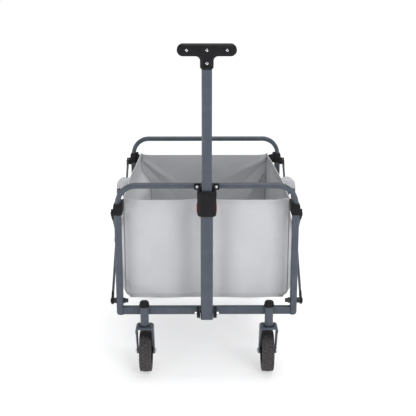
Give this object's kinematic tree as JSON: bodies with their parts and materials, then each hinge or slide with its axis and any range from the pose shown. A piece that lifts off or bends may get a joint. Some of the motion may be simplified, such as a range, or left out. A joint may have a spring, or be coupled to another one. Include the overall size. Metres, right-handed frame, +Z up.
{
  "type": "wagon with pull handle",
  "caption": "Folding pull wagon with a telescoping T-handle, double scissor frame, fabric tub with side pockets, two swivel front wheels and two fixed rear wheels.",
  "frame": {"origin": "on the floor, under the middle of the overall box (wheels down, wagon open, handle upright)", "axes": "+Z up, the pull handle and the swivel wheels are at -Y, +X to the right when looking along +Y"},
  "size_m": [0.5558, 0.7926, 0.954],
  "materials": {
    "frame_steel": "satin powder coat, blue-grey",
    "black_plastic": "matte moulded nylon",
    "dark_steel": "black powder coat",
    "bright_steel": "zinc plated",
    "hub_plastic": "matte moulded",
    "tyre": "matte tread",
    "button_red": "satin",
    "tub_cloth": "coated polyester canvas, light grey",
    "board_cloth": "cloth-covered board, light grey"
  },
  "bodies": {
    "front_base": {"front_bottom_bar": "frame_steel", "front_posts": "frame_steel", "caster_housings": "frame_steel", "caster_caps": "black_plastic", "handle_bracket": "dark_steel", "handle_pivot_bolt": "bright_steel", "handle_pivot_bushes": "black_plastic", "front_lower_pivots": "dark_steel"},
    "handle_lower": {"handle_lower_tube": "frame_steel", "lock_sleeve": "black_plastic"},
    "button_left": {"lock_button_left": "button_red"},
    "button_right": {"lock_button_right": "button_red"},
    "handle_upper": {"handle_upper_tube": "frame_steel", "grip_front_shell": "black_plastic", "grip_rear_shell": "black_plastic", "grip_screws": "bright_steel"},
    "caster_left": {"caster_fork_left": "frame_steel", "caster_bolts_left": "bright_steel"},
    "caster_right": {"caster_fork_right": "frame_steel", "caster_bolts_right": "bright_steel"},
    "front_wheel_left": {"front_hub_left": "hub_plastic", "front_tyre_left": "tyre"},
    "front_wheel_right": {"front_hub_right": "hub_plastic", "front_tyre_right": "tyre"},
    "rear_base": {"rear_bottom_bar": "frame_steel", "rear_posts": "frame_steel", "rear_forks": "frame_steel", "rear_axles": "bright_steel", "rear_lower_pivots": "dark_steel"},
    "rear_wheel_left": {"rear_hub_left": "hub_plastic", "rear_tyre_left": "tyre"},
    "rear_wheel_right": {"rear_hub_right": "hub_plastic", "rear_tyre_right": "tyre"},
    "front_upper": {"front_hoop": "frame_steel", "front_brackets": "black_plastic", "front_upper_fasteners": "bright_steel", "handle_clip": "black_plastic", "tub_fabric": "tub_cloth", "floor_board": "board_cloth", "side_pockets": "tub_cloth"},
    "rear_upper": {"rear_hoop": "frame_steel", "rear_brackets": "black_plastic", "rear_upper_pivots": "bright_steel"},
    "floor_bar": {"centre_floor_bar": "frame_steel"},
    "a1_left": {"link_a1_left": "frame_steel", "fittings_a1_left": "black_plastic"},
    "a2_left": {"link_a2_left": "frame_steel", "fittings_a2_left": "black_plastic"},
    "b1_left": {"link_b1_left": "frame_steel", "fittings_b1_left": "black_plastic"},
    "b2_left": {"link_b2_left": "frame_steel", "fittings_b2_left": "black_plastic"},
    "a1_right": {"link_a1_right": "frame_steel", "fittings_a1_right": "black_plastic"},
    "a2_right": {"link_a2_right": "frame_steel", "fittings_a2_right": "black_plastic"},
    "b1_right": {"link_b1_right": "frame_steel", "fittings_b1_right": "black_plastic"},
    "b2_right": {"link_b2_right": "frame_steel", "fittings_b2_right": "black_plastic"}
  },
  "joints": [
    {"name": "fold", "type": "hinge", "parent": "front_base", "child": "a1_left", "pos_m": [-0.267, -0.33627, 0.225], "axis": [1, 0, 0], "range_deg": [0, 41], "deforming": ["tub_fabric", "floor_board", "side_pockets"]},
    {"name": "fold_a2_left", "type": "hinge", "parent": "a1_left", "child": "a2_left", "pos_m": [-0.267, -0.01128, 0.485], "axis": [1, 0, 0], "range_deg": [-82, 0]},
    {"name": "fold_b1_left", "type": "hinge", "parent": "a1_left", "child": "b1_left", "pos_m": [-0.267, -0.17378, 0.355], "axis": [1, 0, 0], "range_deg": [-82, 0]},
    {"name": "fold_b2_left", "type": "hinge", "parent": "a2_left", "child": "b2_left", "pos_m": [-0.267, 0.15122, 0.355], "axis": [1, 0, 0], "range_deg": [0, 82]},
    {"name": "fold_rear_base", "type": "hinge", "parent": "a2_left", "child": "rear_base", "pos_m": [-0.267, 0.31372, 0.225], "axis": [1, 0, 0], "range_deg": [0, 41]},
    {"name": "fold_front_upper", "type": "hinge", "parent": "b1_left", "child": "front_upper", "pos_m": [-0.267, -0.33627, 0.485], "axis": [1, 0, 0], "range_deg": [0, 41]},
    {"name": "fold_rear_upper", "type": "hinge", "parent": "b2_left", "child": "rear_upper", "pos_m": [-0.267, 0.31372, 0.485], "axis": [1, 0, 0], "range_deg": [-41, 0]},
    {"name": "fold_floor_bar", "type": "hinge", "parent": "b1_left", "child": "floor_bar", "pos_m": [-0.267, -0.01128, 0.225], "axis": [1, 0, 0], "range_deg": [0, 41]},
    {"name": "fold_a1_right", "type": "hinge", "parent": "front_base", "child": "a1_right", "pos_m": [0.267, -0.33627, 0.225], "axis": [1, 0, 0], "range_deg": [0, 41]},
    {"name": "fold_a2_right", "type": "hinge", "parent": "a1_right", "child": "a2_right", "pos_m": [0.267, -0.01128, 0.485], "axis": [1, 0, 0], "range_deg": [-82, 0]},
    {"name": "fold_b1_right", "type": "hinge", "parent": "a1_right", "child": "b1_right", "pos_m": [0.267, -0.17378, 0.355], "axis": [1, 0, 0], "range_deg": [-82, 0]},
    {"name": "fold_b2_right", "type": "hinge", "parent": "a2_right", "child": "b2_right", "pos_m": [0.267, 0.15122, 0.355], "axis": [1, 0, 0], "range_deg": [0, 82]},
    {"name": "handle_pivot", "type": "hinge", "parent": "front_base", "child": "handle_lower", "pos_m": [0, -0.37827, 0.199], "axis": [1, 0, 0], "range_deg": [0, 100]},
    {"name": "handle_telescope", "type": "slide", "parent": "handle_lower", "child": "handle_upper", "axis": [0, 0, 1], "range_m": [-0.25, 0]},
    {"name": "lock_button_left_push", "type": "slide", "parent": "handle_lower", "child": "button_left", "axis": [1, 0, 0], "range_m": [0, 0.003], "stiffness_N_per_m": 600},
    {"name": "lock_button_right_push", "type": "slide", "parent": "handle_lower", "child": "button_right", "axis": [-1, 0, 0], "range_m": [0, 0.003], "stiffness_N_per_m": 600},
    {"name": "caster_swivel_left", "type": "hinge", "parent": "front_base", "child": "caster_left", "pos_m": [-0.177, -0.35783, 0.18], "axis": [0, 0, 1], "continuous": true},
    {"name": "caster_swivel_right", "type": "hinge", "parent": "front_base", "child": "caster_right", "pos_m": [0.177, -0.35783, 0.18], "axis": [0, 0, 1], "continuous": true},
    {"name": "front_wheel_left_spin", "type": "hinge", "parent": "caster_left", "child": "front_wheel_left", "pos_m": [-0.177, -0.31783, 0.061], "axis": [1, 0, 0], "continuous": true},
    {"name": "front_wheel_right_spin", "type": "hinge", "parent": "caster_right", "child": "front_wheel_right", "pos_m": [0.177, -0.31783, 0.061], "axis": [1, 0, 0], "continuous": true},
    {"name": "rear_wheel_left_spin", "type": "hinge", "parent": "rear_base", "child": "rear_wheel_left", "pos_m": [-0.177, 0.33527, 0.061], "axis": [1, 0, 0], "continuous": true},
    {"name": "rear_wheel_right_spin", "type": "hinge", "parent": "rear_base", "child": "rear_wheel_right", "pos_m": [0.177, 0.33527, 0.061], "axis": [1, 0, 0], "continuous": true}
  ],
  "couplings": [
    {"joint": "fold_a2_left", "follows": "fold", "ratio": -2},
    {"joint": "fold_b1_left", "follows": "fold", "ratio": -2},
    {"joint": "fold_b2_left", "follows": "fold", "ratio": 2},
    {"joint": "fold_rear_base", "follows": "fold", "ratio": 1},
    {"joint": "fold_front_upper", "follows": "fold", "ratio": 1},
    {"joint": "fold_rear_upper", "follows": "fold", "ratio": -1},
    {"joint": "fold_floor_bar", "follows": "fold", "ratio": 1},
    {"joint": "fold_a1_right", "follows": "fold", "ratio": 1},
    {"joint": "fold_a2_right", "follows": "fold", "ratio": -2},
    {"joint": "fold_b1_right", "follows": "fold", "ratio": -2},
    {"joint": "fold_b2_right", "follows": "fold", "ratio": 2}
  ]
}
